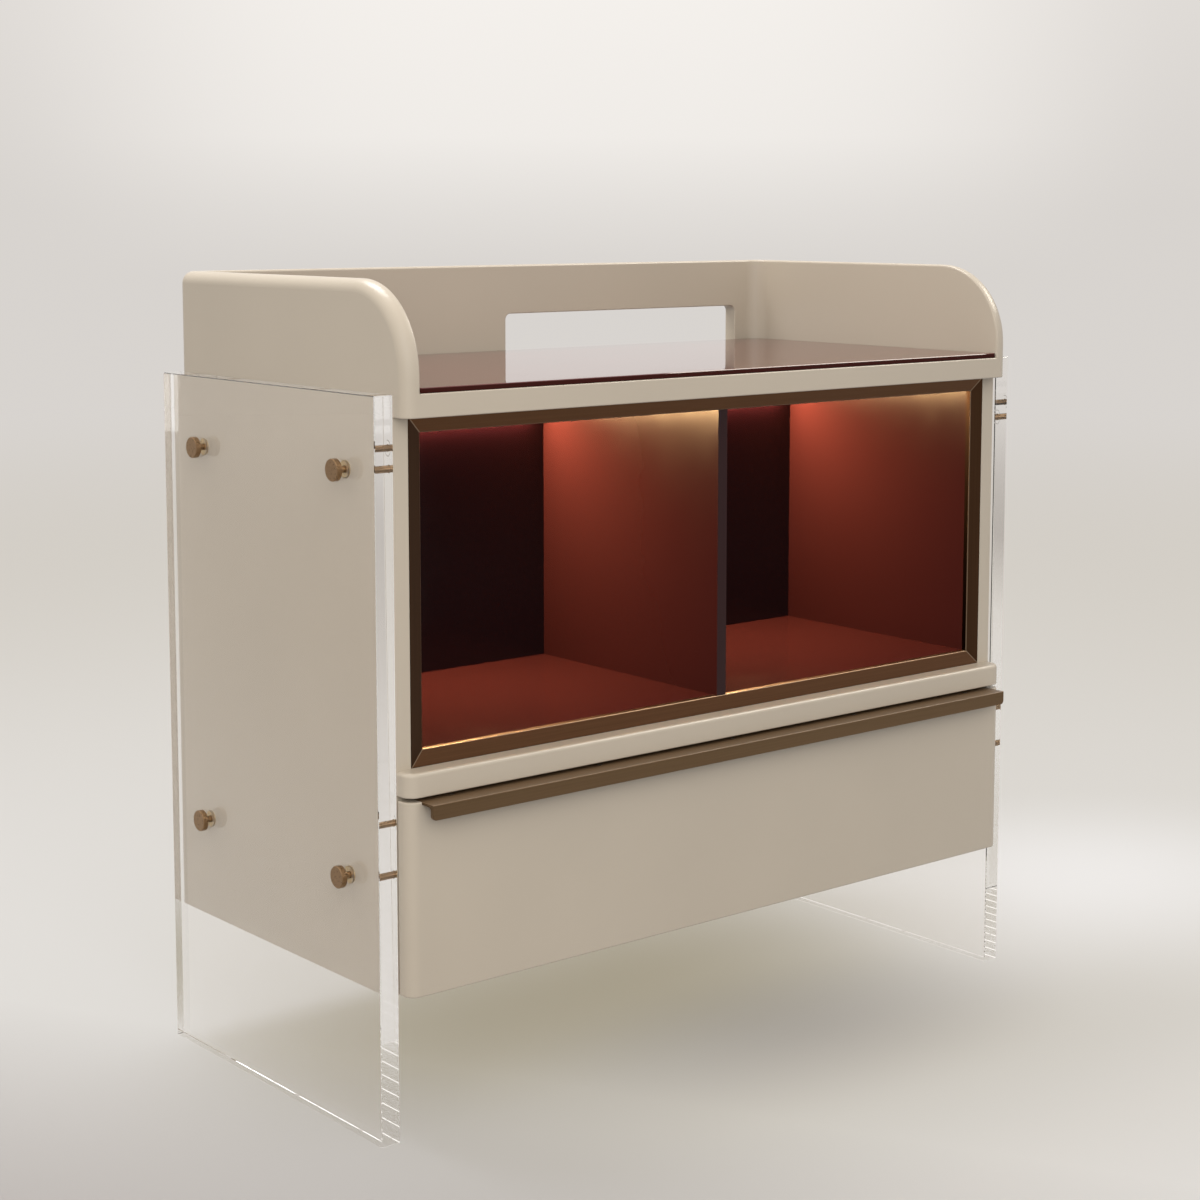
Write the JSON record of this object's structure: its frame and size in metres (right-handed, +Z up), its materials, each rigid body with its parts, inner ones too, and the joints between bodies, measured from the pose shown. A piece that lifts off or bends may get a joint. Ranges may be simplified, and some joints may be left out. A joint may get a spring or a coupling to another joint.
{
  "type": "record cabinet",
  "caption": "Lacquered record cabinet between clear acrylic side panels, with a galleried glass-topped tray, a lit divided record bay and a drawer with an edge pull.",
  "frame": {"origin": "on the floor, at the middle of the footprint", "axes": "+X to the right seen from the front, +Y to the rear, +Z up"},
  "size_m": [1.0126, 0.4946, 0.936],
  "materials": {
    "cream_lacquer": "satin lacquer",
    "burgundy_lacquer": "satin lacquer",
    "burgundy_glass": "polished, colour-backed",
    "clear_acrylic": "clear, polished edges",
    "bronze": "satin bronze",
    "washer": "satin",
    "dowel_wood": "bare beech",
    "drawer_wood": "oiled",
    "steel": "zinc plated",
    "aluminium": "anodised",
    "led_diffuser": "opal",
    "light_plastic": "moulded",
    "black_rubber": "matt"
  },
  "bodies": {
    "cabinet": {"side_board_left": "cream_lacquer", "side_board_right": "cream_lacquer", "gallery_back": "cream_lacquer", "service_back": "cream_lacquer", "tray_board": "cream_lacquer", "mid_shelf": "cream_lacquer", "bottom_shelf": "cream_lacquer", "liner_floor": "burgundy_lacquer", "liner_ceiling": "burgundy_lacquer", "liner_left": "burgundy_lacquer", "liner_right": "burgundy_lacquer", "liner_back": "burgundy_lacquer", "bay_divider": "burgundy_lacquer", "glass_top": "burgundy_glass", "acrylic_panel_left": "clear_acrylic", "acrylic_panel_right": "clear_acrylic", "panel_bolts": "bronze", "frame_top": "bronze", "frame_bottom": "bronze", "frame_left": "bronze", "frame_right": "bronze", "panel_spacers": "washer", "carcass_dowels": "dowel_wood", "threaded_inserts": "steel", "service_back_screws": "steel", "driver_screws": "steel", "runner_screws": "steel", "runner_outer_left": "steel", "runner_outer_right": "steel", "led_channel_left": "aluminium", "led_channel_right": "aluminium", "led_cover_left": "led_diffuser", "led_cover_right": "led_diffuser", "led_tape_left": "light_plastic", "led_tape_right": "light_plastic", "led_end_caps": "light_plastic", "led_driver": "light_plastic", "led_lead_left": "black_rubber", "led_lead_right": "black_rubber", "cable_grommet": "black_rubber", "drawer_bumpers": "black_rubber"},
    "drawer": {"drawer_front": "cream_lacquer", "drawer_handle": "bronze", "handle_screws": "steel", "front_screws": "steel", "drawer_side_left": "drawer_wood", "drawer_side_right": "drawer_wood", "drawer_inner_front": "drawer_wood", "drawer_back": "drawer_wood", "drawer_floor": "drawer_wood", "runner_inner_left": "steel", "runner_inner_right": "steel", "drawer_runner_screws": "steel"},
    "runner_left": {"runner_middle_left": "steel"},
    "runner_right": {"runner_middle_right": "steel"}
  },
  "joints": [
    {"name": "drawer_slide", "type": "slide", "parent": "cabinet", "child": "drawer", "axis": [0, -1, 0], "range_m": [0, 0.38]},
    {"name": "runner_left_slide", "type": "slide", "parent": "cabinet", "child": "runner_left", "axis": [0, -1, 0], "range_m": [0, 0.19]},
    {"name": "runner_right_slide", "type": "slide", "parent": "cabinet", "child": "runner_right", "axis": [0, -1, 0], "range_m": [0, 0.19]}
  ],
  "couplings": [
    {"joint": "runner_left_slide", "follows": "drawer_slide", "ratio": 0.5},
    {"joint": "runner_right_slide", "follows": "drawer_slide", "ratio": 0.5}
  ]
}
